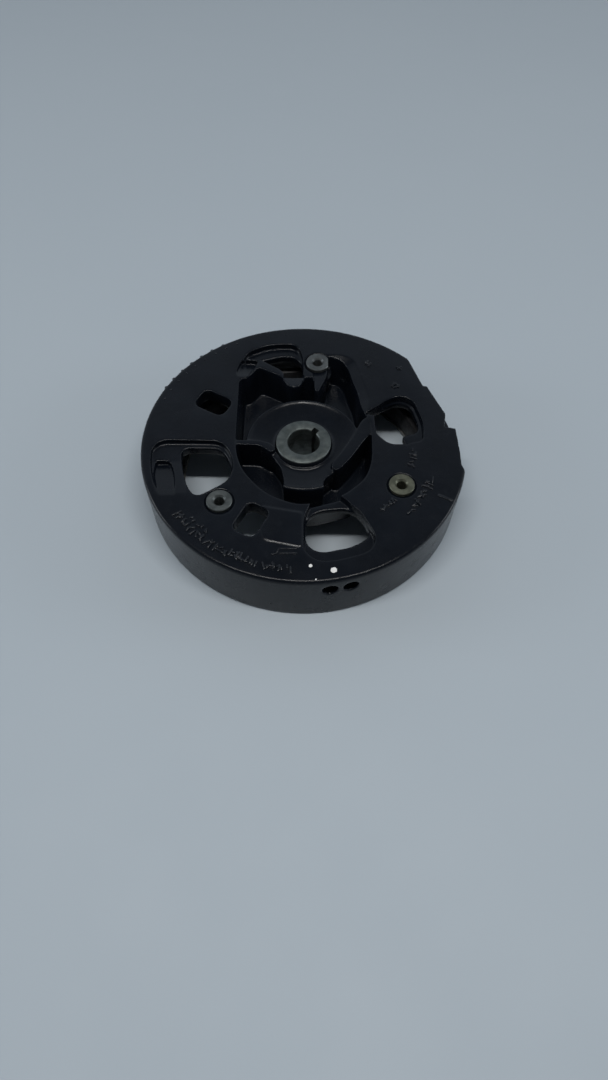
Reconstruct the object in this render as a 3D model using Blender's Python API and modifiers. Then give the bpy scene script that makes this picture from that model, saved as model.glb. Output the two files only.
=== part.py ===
"""Magneto flywheel of a small engine, as separate pieces. Millimetres below are turned into metres by MM.

The axis of rotation is Z, the rim stands on z = 0 and the starter side faces up. Angles are counterclockwise
from +X, seen from above.
"""

import math

import bmesh
import bpy

MM = 0.001
FIT = 0.3  # clearance between pieces that touch

# Rim and top plate
RIM_RADIUS = 82.5
RIM_FOOT_RADIUS = 81.7
TOP_Z = 32.0
PLATE_BOTTOM_Z = 24.0
PLATE_INNER_RADIUS = 33.0
SHOULDER_Z = 16.2
ABOVE = TOP_Z + 3.0  # cutters end here, clear of the wheel
BELOW = -2.0
SHOULDER_RADIUS = 65.5
SKIRT_INNER_RADIUS = 77.0
RIM_STEPS = 120

# Bowl, boss and hub
BOWL_FLOOR_Z = 14.0
BOWL_FOOT = 0.93  # the bowl's walls lean: its foot is this share of its top
POCKET_FLOOR_Z = BOWL_FLOOR_Z + 0.1
BOWL_SHELL = 3.2
BOSS_UNDERSIDE_Z = BOWL_FLOOR_Z - 2.6
BOSS_RADIUS = 29.45
BOSS_EDGE_Z = 30.9
BOSS_ROOT_Z = 28.7
BOSS_CORE_RADIUS = 10.0  # inside the hub's seat, which cuts it away
HUB_COLLAR_FOOT_Z = BOSS_ROOT_Z - 0.6
HUB_COLLAR_RADIUS = 14.0
HUB_BODY_RADIUS = 13.0
HUB_ANCHOR_RADIUS = 17.0
HUB_ANCHOR_LOW_Z = 6.0
HUB_ANCHOR_HIGH_Z = 10.0
HUB_FOOT_Z = 2.5
BORE_TOP_RADIUS = 8.15
BORE_FOOT_RADIUS = 9.6
KEYWAY_ANGLE = 51.0
KEYWAY_WIDTH = 3.2
KEYWAY_REACH = 10.7

# Threaded inserts for the starter pulley
INSERT_RADIUS_FROM_AXIS = 55.3
INSERT_ANGLES = (82.6, 223.2, 331.0)
INSERT_COLLAR_RADIUS = 6.3
INSERT_BODY_RADIUS = 4.5
INSERT_TOP_Z = 33.0
INSERT_FOOT_Z = 17.0
INSERT_BORE_RADIUS = 2.5
INSERT_BOSS_RADIUS = 7.8
INSERT_SPOT_RADIUS = 7.3
INSERT_SPOT_Z = TOP_Z - 1.2

# Windows
LEDGE_Z = 27.6
HIGH_LEDGE_Z = 29.2
SLOT_ANGLES = (151.7, 242.8)
SLOT_RADIUS_FROM_AXIS = 54.0
SLOT_LENGTH = 17.6
SLOT_WIDTH = 12.4
SLOT_CORNER = 4.5

# Rim details
RELIEF_Z = 16.6
BALANCE_ANGLES = (-80.7, -73.7)
BALANCE_Z = 23.4
BALANCE_RADIUS = 3.75
BALANCE_DEPTH = 7.0
TICK_FIRST_ANGLE = 123.5
TICK_PITCH = 5.0
TICK_COUNT = 7
TICK_PROUD = 0.7

# Magnet ring
BACK_IRON_OUTER = 76.7
BACK_IRON_INNER = 72.9
BACK_IRON_FOOT_Z = 2.5
MAGNET_OUTER = 72.6
MAGNET_INNER = 63.8
MAGNET_COUNT = 6
MAGNET_ARC = 50.0
SPACER_INNER = 65.2
MAGNET_FOOT_Z = 2.8
MAGNET_TOP_Z = 15.9
RETAINER_INNER = 63.4
RETAINER_FOOT_Z = 1.0
RETAINER_TOP_Z = 2.2
SCREW_RADIUS_FROM_AXIS = 68.9
SCREW_RADIUS = 1.3
SCREW_HEAD_RADIUS = 2.6
SCREW_HEAD_Z = (0.2, 0.7)
SCREW_END_Z = 12.0

# Trigger magnet ring round the hub sleeve
SLEEVE_RADIUS = 19.5
SLEEVE_FOOT_Z = 3.0
CARRIER_INNER = 19.9
CARRIER_OUTER = 27.0
CARRIER_FOOT_Z = 3.6
CARRIER_TOP_Z = 10.4
TRIGGER_COUNT = 4
TRIGGER_ARC = 40.0
TRIGGER_SEAT_RADIUS = 23.0
TRIGGER_SEAT_Z = CARRIER_FOOT_Z + 1.5


# ---------------------------------------------------------------- scene and materials


def clear_scene():
    for old in list(bpy.data.objects):
        bpy.data.objects.remove(old, do_unlink=True)


def new_collection(name):
    made = bpy.data.collections.new(name)
    bpy.context.scene.collection.children.link(made)
    return made


def material(name, colour, roughness, metallic):
    made = bpy.data.materials.new(name)
    made.use_nodes = True
    shader = made.node_tree.nodes["Principled BSDF"]
    shader.inputs["Base Color"].default_value = (*colour, 1.0)
    shader.inputs["Roughness"].default_value = roughness
    shader.inputs["Metallic"].default_value = metallic
    return made


# ---------------------------------------------------------------- outlines


def polar(radius, degrees):
    angle = math.radians(degrees)
    return radius * math.cos(angle), radius * math.sin(angle)


def rounded(corners, steps=4):
    """A closed outline from corners (x, y, reach): reach is how far each side is given up to the round."""
    outline = []
    count = len(corners)
    for i, (x, y, reach) in enumerate(corners):
        if reach <= 0:
            outline.append((x, y))
            continue
        ends = []
        for ox, oy, _ in (corners[i - 1], corners[(i + 1) % count]):
            side = math.hypot(ox - x, oy - y)
            part = min(reach, 0.45 * side) / side
            ends.append((x + (ox - x) * part, y + (oy - y) * part))
        (ax, ay), (bx, by) = ends
        for k in range(steps + 1):
            t = k / steps
            p, q, r = (1 - t) ** 2, 2 * t * (1 - t), t * t
            outline.append((p * ax + q * x + r * bx, p * ay + q * y + r * by))
    return outline


def turned_about(outline, centre, degrees):
    c, s = math.cos(math.radians(degrees)), math.sin(math.radians(degrees))
    return [(centre[0] + x * c - y * s, centre[1] + x * s + y * c) for x, y in outline]


def sector(inner, outer, middle, width, steps):
    """A closed ring sector, width degrees wide about the angle middle."""
    angles = [middle - width / 2 + width * k / steps for k in range(steps + 1)]
    return [polar(outer, a) for a in angles] + [polar(inner, a) for a in reversed(angles)]


def bowl_outline():
    """The bowl with its two lobes; the narrow tongue between the lobes carries the first insert."""
    near_side = [
        (-35.2, 16.0, 6), (-35.0, -6.0, 8), (-30.6, -19.5, 8), (-18.5, -33.3, 8), (-4.0, -39.2, 6),
        (4.0, -38.8, 4), (10.5, -36.6, 4), (18.5, -34.2, 3), (24.6, -29.6, 5), (31.5, -22.5, 7),
        (35.0, -11.5, 7), (35.4, 12.0, 3), (32.4, 20.0, 3),
    ]
    right_lobe = [
        (30.6, 25.5, 4), (29.0, 36.3, 5), (26.4, 44.5, 5), (24.4, 53.5, 4), (21.0, 59.2, 3),
        (12.6, 61.6, 2.5), (12.6, 48.0, 3), (9.9, 40.7, 3),
    ]
    tongue_and_shelf = [
        (7.4, 34.6, 1.2), (5.6, 36.5, 1.2), (5.2, 45.0, 2), (-0.6, 45.0, 2), (-1.6, 40.6, 2),
        (-5.6, 37.2, 3), (-9.7, 40.6, 2),
    ]
    left_lobe = [(-11.9, 45.2, 3), (-25.6, 52.3, 3), (-31.0, 43.8, 3), (-35.4, 43.2, 3)]
    return rounded(near_side + right_lobe + tongue_and_shelf + left_lobe, 3)


def bowl_envelope():
    """A plain outline round the bowl and lobes, for the wall that hangs below the plate."""
    return rounded(
        [
            (-36.6, 45.0, 5), (-36.6, -10.0, 12), (-22.0, -33.5, 12), (0.0, -40.5, 12), (24.0, -32.5, 12),
            (36.6, -10.0, 12), (36.4, 20.0, 8), (30.8, 38.0, 6), (23.5, 60.2, 5), (11.4, 62.6, 4),
            (-13.0, 48.0, 8), (-27.0, 53.5, 5),
        ],
        3,
    )


WINDOWS = {
    "left": [
        (-62.0, -5.4, 2), (-58.8, -3.0, 2), (-42.0, -3.0, 5), (-37.0, -11.0, 6), (-35.2, -20.0, 5),
        (-37.8, -26.0, 5), (-51.5, -35.0, 4), (-56.2, -30.5, 5), (-60.6, -16.0, 6),
    ],
    "back": [
        (-1.2, 45.9, 1), (-1.2, 57.6, 4), (-5.6, 62.6, 4), (-13.0, 63.0, 4), (-26.0, 58.4, 1.5),
        (-12.6, 49.6, 2), (-10.6, 45.7, 1),
    ],
    "right": [
        (31.6, 19.6, 1), (42.2, 27.4, 5), (50.0, 31.2, 5), (56.6, 28.4, 4), (60.2, 15.0, 4),
        (58.6, 10.4, 2), (50.6, 7.6, 2), (53.8, -0.8, 1), (43.4, -0.8, 5), (37.6, 6.0, 4), (37.2, 18.0, 1),
    ],
    "front": [
        (1.4, -45.0, 5), (1.4, -58.6, 5), (8.2, -63.6, 5), (24.6, -59.6, 5), (33.0, -53.2, 4),
        (27.8, -42.2, 6), (20.6, -38.0, 4), (7.2, -40.0, 4),
    ],
}
RECESSES = {
    "left": [
        (-76.8, -6.0, 5), (-72.6, -0.2, 5), (-42.0, -0.2, 6), (-36.2, -8.0, 5), (-34.6, -18.0, 3),
        (-37.6, -23.0, 2), (-58.0, -23.0, 2), (-60.0, -31.0, 1), (-70.6, -31.0, 4), (-75.6, -18.0, 6),
    ],
    "back": [
        (-0.7, 45.9, 1), (-0.7, 60.0, 6), (-4.6, 69.4, 6), (-20.0, 68.6, 8), (-31.4, 62.6, 4),
        (-33.8, 55.6, 3), (-31.2, 57.8, 1), (-23.4, 57.2, 1), (-12.4, 49.6, 2), (-10.4, 45.7, 1),
    ],
    "right": [
        (36.4, 22.4, 1), (41.6, 27.8, 5), (50.0, 32.2, 5), (57.6, 29.2, 4), (61.8, 14.0, 4),
        (61.0, 2.0, 3), (53.0, -0.2, 2), (43.4, -0.2, 4), (37.2, 6.0, 2),
    ],
    "front": [
        (4.4, -36.0, 1), (0.7, -46.0, 4), (0.7, -64.6, 3), (6.6, -70.4, 4), (16.0, -70.0, 6),
        (31.6, -65.0, 5), (35.2, -57.4, 5), (29.8, -46.0, 6), (21.4, -36.2, 3), (18.0, -33.0, 1),
    ],
}
RECESS_FLOORS = {"left": HIGH_LEDGE_Z, "back": LEDGE_Z, "right": LEDGE_Z, "front": LEDGE_Z}
NEAR_LEFT_POCKET = [
    (-33.6, -1.2, 3), (-30.4, -18.5, 6), (-18.6, -32.4, 8), (-11.0, -36.0, 3), (-9.6, -24.5, 3),
    (-11.3, -15.0, 2), (-16.6, -6.4, 3), (-22.6, -1.6, 3),
]
NEAR_RIGHT_POCKET = [
    (11.0, -35.0, 3), (20.0, -32.0, 4), (28.0, -24.0, 6), (34.6, -11.5, 6), (35.0, 7.0, 2),
    (31.4, 2.6, 4), (24.6, -8.6, 6), (15.6, -18.0, 5), (10.2, -22.5, 3),
]
RIGHT_VANE = [
    (29.6, 14.8, 2.6), (32.8, 17.8, 2.8), (36.3, 14.6, 2.6), (35.9, 8.0, 3), (31.0, 2.2, 4),
    (24.0, -9.4, 6), (16.6, -18.6, 4), (13.2, -14.4, 4), (19.6, -5.0, 6), (26.0, 6.0, 6),
]
LEFT_RIB = [
    (-36.4, 1.4, 1), (-36.4, -1.6, 1), (-22.4, -1.8, 3), (-16.4, -6.6, 2), (-13.9, -4.4, 1),
    (-16.2, -0.6, 3), (-22.0, 1.5, 3),
]
RIM_RELIEF = [
    polar(radius, angle)
    for radius, angle in (
        (82.9, 47.5), (74.7, 31.9), (76.4, 31.0), (76.5, 15.0), (73.4, 8.8), (78.9, 7.4), (79.4, -4.4),
        (80.1, -9.4), (83.0, -12.4), (95.0, -12.4), (95.0, 17.0), (95.0, 47.5),
    )
]


# ---------------------------------------------------------------- solids


def object_from(bm, name, group, surface=None):
    bmesh.ops.recalc_face_normals(bm, faces=bm.faces)
    bmesh.ops.scale(bm, vec=(MM, MM, MM), verts=bm.verts)
    mesh = bpy.data.meshes.new(name)
    bm.to_mesh(mesh)
    bm.free()
    made = bpy.data.objects.new(name, mesh)
    group.objects.link(made)
    if surface:
        mesh.materials.append(surface)
        mesh.shade_smooth()
        mesh.set_sharp_from_angle(angle=math.radians(35))
    return made


def as_tool(tool):
    tool.hide_render = True
    tool.display_type = "WIRE"
    return tool


def prism(name, outline, low, high, group, surface=None, foot=1.0):
    """An outline extruded from low to high; foot scales its lower end about the axis."""
    bm = bmesh.new()
    corners = [bm.verts.new((x * foot, y * foot, low)) for x, y in outline]
    bottom = bm.faces.new(corners)
    raised = bmesh.ops.extrude_face_region(bm, geom=[bottom])["geom"]
    top = [v for v in raised if isinstance(v, bmesh.types.BMVert)]
    bmesh.ops.translate(bm, vec=(0, 0, high - low), verts=top)
    bmesh.ops.scale(bm, vec=(1 / foot, 1 / foot, 1), verts=top)
    return object_from(bm, name, group, surface)


def turned(name, profile, steps, group, surface=None):
    """A closed profile (radius, height), given clockwise, spun round the Z axis."""
    bm = bmesh.new()
    points = [bm.verts.new((r, 0, z)) for r, z in profile]
    for a, b in zip(points, points[1:] + points[:1], strict=True):
        bm.edges.new((a, b))
    bmesh.ops.scale(bm, vec=(MM, MM, MM), verts=bm.verts)
    mesh = bpy.data.meshes.new(name)
    bm.to_mesh(mesh)
    bm.free()
    made = bpy.data.objects.new(name, mesh)
    group.objects.link(made)
    if surface:
        mesh.materials.append(surface)
    spin = made.modifiers.new("spin", "SCREW")
    spin.axis = "Z"
    spin.steps = steps
    spin.render_steps = steps
    spin.use_merge_vertices = True
    spin.merge_threshold = 0.00001
    spin.use_smooth_shade = True
    return made


def cylinder(name, radius, low, high, steps, group, surface=None, top_radius=None):
    bm = bmesh.new()
    bmesh.ops.create_cone(
        bm,
        cap_ends=True,
        segments=steps,
        radius1=radius,
        radius2=radius if top_radius is None else top_radius,
        depth=high - low,
    )
    bmesh.ops.translate(bm, vec=(0, 0, (low + high) / 2), verts=bm.verts)
    return object_from(bm, name, group, surface)


def combine(body, tool, operation):
    step = body.modifiers.new(tool.name, "BOOLEAN")
    step.operation = operation
    step.solver = "EXACT"
    step.object = as_tool(tool)


def cut(body, tool):
    combine(body, tool, "DIFFERENCE")


def join(body, tool):
    combine(body, tool, "UNION")


def move_to(thing, x, y, z=0.0):
    thing.location = (x * MM, y * MM, z * MM)
    return thing


# ---------------------------------------------------------------- the casting


def casting_rim(group, surface):
    return turned(
        "casting",
        [
            (PLATE_INNER_RADIUS, PLATE_BOTTOM_Z),
            (PLATE_INNER_RADIUS, TOP_Z),
            (RIM_RADIUS - 1.6, TOP_Z),
            (RIM_RADIUS - 0.5, TOP_Z - 0.5),
            (RIM_RADIUS, TOP_Z - 1.6),
            (RIM_FOOT_RADIUS, 0.6),
            (RIM_FOOT_RADIUS - 0.6, 0.0),
            (SKIRT_INNER_RADIUS + 0.5, 0.0),
            (SKIRT_INNER_RADIUS, 0.5),
            (SKIRT_INNER_RADIUS, SHOULDER_Z),
            (SHOULDER_RADIUS, SHOULDER_Z),
            (SHOULDER_RADIUS - 0.5, PLATE_BOTTOM_Z),
        ],
        RIM_STEPS,
        group,
        surface,
    )


def casting_boss(tools):
    return turned(
        "boss_blank",
        [
            (BOSS_CORE_RADIUS, SLEEVE_FOOT_Z),
            (BOSS_CORE_RADIUS, BOSS_ROOT_Z),
            (HUB_COLLAR_RADIUS + 1.5, BOSS_ROOT_Z),
            (BOSS_RADIUS - 0.9, BOSS_EDGE_Z),
            (BOSS_RADIUS, BOSS_EDGE_Z - 0.7),
            (BOSS_RADIUS + 1.1, BOSS_UNDERSIDE_Z),
            (SLEEVE_RADIUS + 0.4, BOSS_UNDERSIDE_Z),
            (SLEEVE_RADIUS, SLEEVE_FOOT_Z + 0.4),
            (SLEEVE_RADIUS - 0.5, SLEEVE_FOOT_Z),
        ],
        72,
        tools,
    )


def hub_profile(gap=0.0):
    """The steel hub: a collar on top, a plain body and an anchor flange held in the casting."""
    return [
        (HUB_COLLAR_RADIUS + gap, TOP_Z + 4 * gap),
        (HUB_COLLAR_RADIUS + gap, HUB_COLLAR_FOOT_Z - gap),
        (HUB_BODY_RADIUS + gap, HUB_COLLAR_FOOT_Z - gap),
        (HUB_BODY_RADIUS + gap, HUB_ANCHOR_HIGH_Z + gap),
        (HUB_ANCHOR_RADIUS + gap, HUB_ANCHOR_HIGH_Z + gap),
        (HUB_ANCHOR_RADIUS + gap, HUB_ANCHOR_LOW_Z - gap),
        (HUB_BODY_RADIUS + gap, HUB_ANCHOR_LOW_Z - gap),
        (HUB_BODY_RADIUS + gap, HUB_FOOT_Z - 10 * gap),
    ]


def cut_windows(body, tools):
    for side, corners in WINDOWS.items():
        cut(body, prism(f"window_{side}", rounded(corners), BELOW, ABOVE, tools))
    for side, corners in RECESSES.items():
        cut(body, prism(f"recess_{side}", rounded(corners), RECESS_FLOORS[side], ABOVE, tools))
    for number, angle in enumerate(SLOT_ANGLES, 1):
        a, b = SLOT_LENGTH / 2, SLOT_WIDTH / 2
        box = rounded([(x, y, SLOT_CORNER) for x, y in ((-a, -b), (a, -b), (a, b), (-a, b))])
        outline = turned_about(box, polar(SLOT_RADIUS_FROM_AXIS, angle), angle)
        cut(body, prism(f"slot_{number}", outline, BELOW, ABOVE, tools))


def cut_insert_seats(body, tools):
    for number, angle in enumerate(INSERT_ANGLES, 1):
        x, y = polar(INSERT_RADIUS_FROM_AXIS, angle)
        low, high = INSERT_FOOT_Z - FIT, PLATE_BOTTOM_Z + 1
        join(body, move_to(cylinder(f"insert_boss_{number}", INSERT_BOSS_RADIUS, low, high, 28, tools), x, y))
        spot = cylinder(f"insert_spot_{number}", INSERT_SPOT_RADIUS, INSERT_SPOT_Z, ABOVE, 32, tools)
        cut(body, move_to(spot, x, y))
        bore = cylinder(f"insert_bore_{number}", INSERT_BODY_RADIUS + FIT, 10, ABOVE, 28, tools)
        cut(body, move_to(bore, x, y))


def rim_details(body, tools):
    cut(body, prism("rim_relief", RIM_RELIEF, RELIEF_Z, ABOVE, tools))
    for number, angle in enumerate(BALANCE_ANGLES, 1):
        drill = cylinder(f"balance_drill_{number}", BALANCE_RADIUS, 0, BALANCE_DEPTH + 6, 24, tools)
        drill.rotation_euler = (0, math.radians(90), math.radians(angle))
        cut(body, move_to(drill, *polar(RIM_RADIUS - BALANCE_DEPTH, angle), BALANCE_Z))
    for number in range(TICK_COUNT):
        angle = TICK_FIRST_ANGLE + TICK_PITCH * number
        tick = sector(RIM_RADIUS - 2.0, RIM_RADIUS + TICK_PROUD, angle, 1.0, 1)
        join(body, prism(f"tick_{number + 1}", tick, TOP_Z - 7.0, TOP_Z - 0.8, tools))


def make_casting(group, tools):
    surface = material("painted_casting", (0.012, 0.016, 0.024), 0.38, 0.0)
    body = casting_rim(group, surface)
    envelope = bowl_envelope()
    join(body, prism("bowl_shell", envelope, BOWL_FLOOR_Z - BOWL_SHELL, TOP_Z - 0.2, tools, foot=BOWL_FOOT))
    cut(body, prism("bowl_cavity", bowl_outline(), BOWL_FLOOR_Z, ABOVE, tools, foot=BOWL_FOOT))
    join(body, casting_boss(tools))
    for side, corners in (("left", NEAR_LEFT_POCKET), ("right", NEAR_RIGHT_POCKET)):
        outline = rounded(corners)
        cut(body, prism(f"near_{side}_pocket", outline, POCKET_FLOOR_Z, ABOVE, tools, foot=BOWL_FOOT))
    join(body, prism("right_vane", rounded(RIGHT_VANE), BOWL_FLOOR_Z - 1, TOP_Z - 0.5, tools))
    join(body, prism("left_rib", rounded(LEFT_RIB), BOWL_FLOOR_Z - 1.5, TOP_Z - 0.9, tools))
    axis_side = [(0.0, HUB_FOOT_Z - 10 * FIT), (0.0, TOP_Z + 4 * FIT)]
    seat = turned("hub_seat", axis_side + hub_profile(FIT), 64, tools)
    cut(body, seat)
    cut_windows(body, tools)
    cut_insert_seats(body, tools)
    rim_details(body, tools)
    return body


# ---------------------------------------------------------------- the steel pieces


def make_hub(group, tools):
    surface = material("hub_steel", (0.42, 0.43, 0.44), 0.35, 1.0)
    bore_side = [(BORE_FOOT_RADIUS, HUB_FOOT_Z), (BORE_TOP_RADIUS, TOP_Z)]
    hub = turned("steel_hub", bore_side + hub_profile(), 64, group, surface)
    half = KEYWAY_WIDTH / 2
    key_slot = [(0, -half), (KEYWAY_REACH, -half), (KEYWAY_REACH, half), (0, half)]
    outline = turned_about(key_slot, (0, 0), KEYWAY_ANGLE)
    cut(hub, prism("keyway", outline, HUB_FOOT_Z - 1, TOP_Z + 1, tools))
    return hub


def make_insert(number, angle, group):
    surface = material(f"insert_steel_{number}", (0.40, 0.41, 0.40), 0.4, 1.0)
    seat_z = INSERT_SPOT_Z + FIT
    insert = turned(
        f"threaded_insert_{number}",
        [
            (INSERT_BORE_RADIUS, INSERT_FOOT_Z),
            (INSERT_BORE_RADIUS, INSERT_TOP_Z - 0.7),
            (INSERT_BORE_RADIUS + 0.7, INSERT_TOP_Z),
            (INSERT_COLLAR_RADIUS - 0.3, INSERT_TOP_Z),
            (INSERT_COLLAR_RADIUS, INSERT_TOP_Z - 0.3),
            (INSERT_COLLAR_RADIUS, seat_z),
            (INSERT_BODY_RADIUS, seat_z),
            (INSERT_BODY_RADIUS, INSERT_FOOT_Z),
        ],
        28,
        group,
        surface,
    )
    return move_to(insert, *polar(INSERT_RADIUS_FROM_AXIS, angle))


def make_back_iron(group):
    surface = material("back_iron_steel", (0.25, 0.26, 0.27), 0.5, 1.0)
    top = SHOULDER_Z - FIT
    return turned(
        "back_iron_ring",
        [
            (BACK_IRON_INNER, BACK_IRON_FOOT_Z),
            (BACK_IRON_INNER, top),
            (BACK_IRON_OUTER, top),
            (BACK_IRON_OUTER, BACK_IRON_FOOT_Z),
        ],
        RIM_STEPS,
        group,
        surface,
    )


def make_magnets(group, tools):
    ferrite = material("ferrite_magnet", (0.035, 0.035, 0.038), 0.55, 0.3)
    resin = material("magnet_resin", (0.02, 0.021, 0.022), 0.6, 0.0)
    pitch = 360 / MAGNET_COUNT
    spacer_arc = pitch - MAGNET_ARC - 0.6
    for number in range(MAGNET_COUNT):
        middle = 30 + number * pitch
        outline = sector(MAGNET_INNER, MAGNET_OUTER, middle, MAGNET_ARC, 16)
        prism(f"magnet_{number + 1}", outline, MAGNET_FOOT_Z, MAGNET_TOP_Z, group, ferrite)
        outline = sector(SPACER_INNER, MAGNET_OUTER, middle + pitch / 2, spacer_arc, 4)
        spacer = prism(f"magnet_spacer_{number + 1}", outline, MAGNET_FOOT_Z, MAGNET_TOP_Z, group, resin)
        hole = cylinder(f"spacer_hole_{number + 1}", SCREW_RADIUS + FIT, 0, SCREW_END_Z + 1, 16, tools)
        cut(spacer, move_to(hole, *polar(SCREW_RADIUS_FROM_AXIS, middle + pitch / 2)))


def make_retainer(group, tools):
    surface = material("retainer_steel", (0.45, 0.46, 0.47), 0.4, 1.0)
    retainer = turned(
        "magnet_retainer_ring",
        [
            (RETAINER_INNER, RETAINER_FOOT_Z),
            (RETAINER_INNER, RETAINER_TOP_Z),
            (BACK_IRON_OUTER, RETAINER_TOP_Z),
            (BACK_IRON_OUTER, RETAINER_FOOT_Z),
        ],
        RIM_STEPS,
        group,
        surface,
    )
    screw_steel = material("screw_steel", (0.35, 0.35, 0.36), 0.35, 1.0)
    head_low, head_high = SCREW_HEAD_Z
    for number in range(MAGNET_COUNT):
        angle = 60 + number * 360 / MAGNET_COUNT
        x, y = polar(SCREW_RADIUS_FROM_AXIS, angle)
        hole = cylinder(f"retainer_hole_{number + 1}", SCREW_RADIUS + FIT, 0, 4, 16, tools)
        cut(retainer, move_to(hole, x, y))
        profile = [
            (0.0, head_low), (0.0, SCREW_END_Z), (SCREW_RADIUS, SCREW_END_Z), (SCREW_RADIUS, head_high),
            (SCREW_HEAD_RADIUS, head_high), (SCREW_HEAD_RADIUS - 0.2, head_low),
        ]
        screw = turned(f"retainer_screw_{number + 1}", profile, 16, group, screw_steel)
        move_to(screw, x, y)


def make_trigger_ring(group, tools):
    moulding = material("trigger_moulding", (0.03, 0.03, 0.032), 0.6, 0.0)
    ferrite = material("trigger_ferrite", (0.06, 0.06, 0.065), 0.5, 0.3)
    carrier = turned(
        "trigger_magnet_carrier",
        [
            (CARRIER_INNER, CARRIER_FOOT_Z),
            (CARRIER_INNER, CARRIER_TOP_Z),
            (CARRIER_OUTER, CARRIER_TOP_Z),
            (CARRIER_OUTER, CARRIER_FOOT_Z + 0.5),
            (CARRIER_OUTER - 0.5, CARRIER_FOOT_Z),
        ],
        72,
        group,
        moulding,
    )
    pitch = 360 / TRIGGER_COUNT
    for number in range(TRIGGER_COUNT):
        middle = KEYWAY_ANGLE + number * pitch
        seat = sector(TRIGGER_SEAT_RADIUS, CARRIER_OUTER + 2, middle, TRIGGER_ARC + 1.4, 10)
        cut(carrier, prism(f"trigger_seat_{number + 1}", seat, TRIGGER_SEAT_Z, CARRIER_TOP_Z + 2, tools))
        outline = sector(TRIGGER_SEAT_RADIUS + FIT, CARRIER_OUTER - 0.2, middle, TRIGGER_ARC, 10)
        low = TRIGGER_SEAT_Z + FIT
        prism(f"trigger_magnet_{number + 1}", outline, low, CARRIER_TOP_Z - 0.2, group, ferrite)


def main():
    clear_scene()
    parts = new_collection("flywheel")
    tools = new_collection("cutters")
    make_casting(parts, tools)
    make_hub(parts, tools)
    for number, angle in enumerate(INSERT_ANGLES, 1):
        make_insert(number, angle, parts)
    make_back_iron(parts)
    make_magnets(parts, tools)
    make_retainer(parts, tools)
    make_trigger_ring(parts, tools)


main()
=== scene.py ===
"""Looks of the magneto flywheel: a fine casting, machined steel, magnets, paint, floor, light and camera.

Sizes are millimetres, turned into metres by MM. The axis of rotation is Z and the rim stands on z = 0.
Angles are counterclockwise from +X, seen from above.
"""

import math
import random

import bmesh
import bpy
from mathutils import Euler, Matrix, Vector


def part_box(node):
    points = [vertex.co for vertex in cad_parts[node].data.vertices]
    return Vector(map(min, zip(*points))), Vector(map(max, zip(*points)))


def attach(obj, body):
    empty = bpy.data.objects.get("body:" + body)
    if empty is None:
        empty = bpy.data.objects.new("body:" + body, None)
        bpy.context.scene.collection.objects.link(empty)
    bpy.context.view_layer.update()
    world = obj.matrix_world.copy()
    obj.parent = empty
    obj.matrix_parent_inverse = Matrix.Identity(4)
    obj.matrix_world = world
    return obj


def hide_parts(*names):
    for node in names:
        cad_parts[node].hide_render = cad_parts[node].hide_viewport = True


MM = 0.001
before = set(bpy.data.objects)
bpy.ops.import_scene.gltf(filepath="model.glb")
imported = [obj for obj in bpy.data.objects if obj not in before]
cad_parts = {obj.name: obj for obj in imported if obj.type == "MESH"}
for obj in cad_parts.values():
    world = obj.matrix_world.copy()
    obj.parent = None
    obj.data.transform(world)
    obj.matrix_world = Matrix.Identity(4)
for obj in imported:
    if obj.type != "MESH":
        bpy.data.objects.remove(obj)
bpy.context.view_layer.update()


def span(node):
    """A CAD node's lowest and highest corner, in millimetres."""
    low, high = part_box(node)
    return low / MM, high / MM


# ---------------------------------------------------------------- driving sizes

wheel_low, wheel_high = span("casting")
hub_low, hub_high = span("steel_hub")
iron_low, iron_high = span("back_iron_ring")
magnet_low, magnet_high = span("magnet_1")
spacer_low, spacer_high = span("magnet_spacer_1")
retainer_low, retainer_high = span("magnet_retainer_ring")
screw_low, screw_high = span("retainer_screw_1")
carrier_low, carrier_high = span("trigger_magnet_carrier")
trigger_low, trigger_high = span("trigger_magnet_1")

RIM_RADIUS = -wheel_low.x
RIM_FOOT_RADIUS = RIM_RADIUS - 0.8
TOP_Z = wheel_high.z
PLATE_BOTTOM_Z = TOP_Z - 8.0
PLATE_INNER_RADIUS = 33.0
SHOULDER_Z = iron_high.z + 0.3
SHOULDER_RADIUS = 65.5
SKIRT_INNER_RADIUS = iron_high.x + 0.3
BOWL_FLOOR_Z = 14.0
BOWL_FOOT = 0.93
BOSS_RADIUS = 29.45
BOSS_EDGE_Z = 30.9
BOSS_ROOT_Z = 28.7
HUB_COLLAR_RADIUS = 14.0
HUB_BODY_RADIUS = 13.0
HUB_ANCHOR_RADIUS = hub_high.x
HUB_ANCHOR_TOP_Z = 10.0
HUB_ANCHOR_FOOT_Z = 6.0
BORE_TOP_RADIUS = 8.15
BORE_FOOT_RADIUS = 9.6
KEYWAY_ANGLE = 51.0
KEYWAY_WIDTH = 3.2
KEYWAY_REACH = 10.7
INSERT_RADIUS_FROM_AXIS = 55.3
INSERT_ANGLES = (82.6, 223.2, 331.0)
INSERT_COLLAR_RADIUS = 6.3
INSERT_BODY_RADIUS = 4.5
INSERT_BORE_RADIUS = 2.5
INSERT_SPOT_Z = TOP_Z - 1.2
INSERT_SPOT_RADIUS = 7.3
INSERT_BOSS_RADIUS = 7.8
LOBE_WALL_X = 12.7
LEDGE_Z = 27.6
HIGH_LEDGE_Z = 29.2
SLOT_ANGLES = (151.7, 242.8)
SLOT_RADIUS_FROM_AXIS = 54.0
SLOT_LENGTH = 17.6
SLOT_WIDTH = 12.4
RELIEF_Z = 16.6
BALANCE_ANGLES = (-80.7, -73.7)
BALANCE_Z = 23.4
BALANCE_RADIUS = 3.75
BALANCE_DEPTH = 7.0
TICK_FIRST_ANGLE = 123.5
TICK_PITCH = 5.0
TICK_COUNT = 7
MAGNET_COUNT = 6
MAGNET_ARC = 50.0
MAGNET_OUTER = 72.6
MAGNET_INNER = 63.8
SPACER_INNER = 65.2
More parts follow.
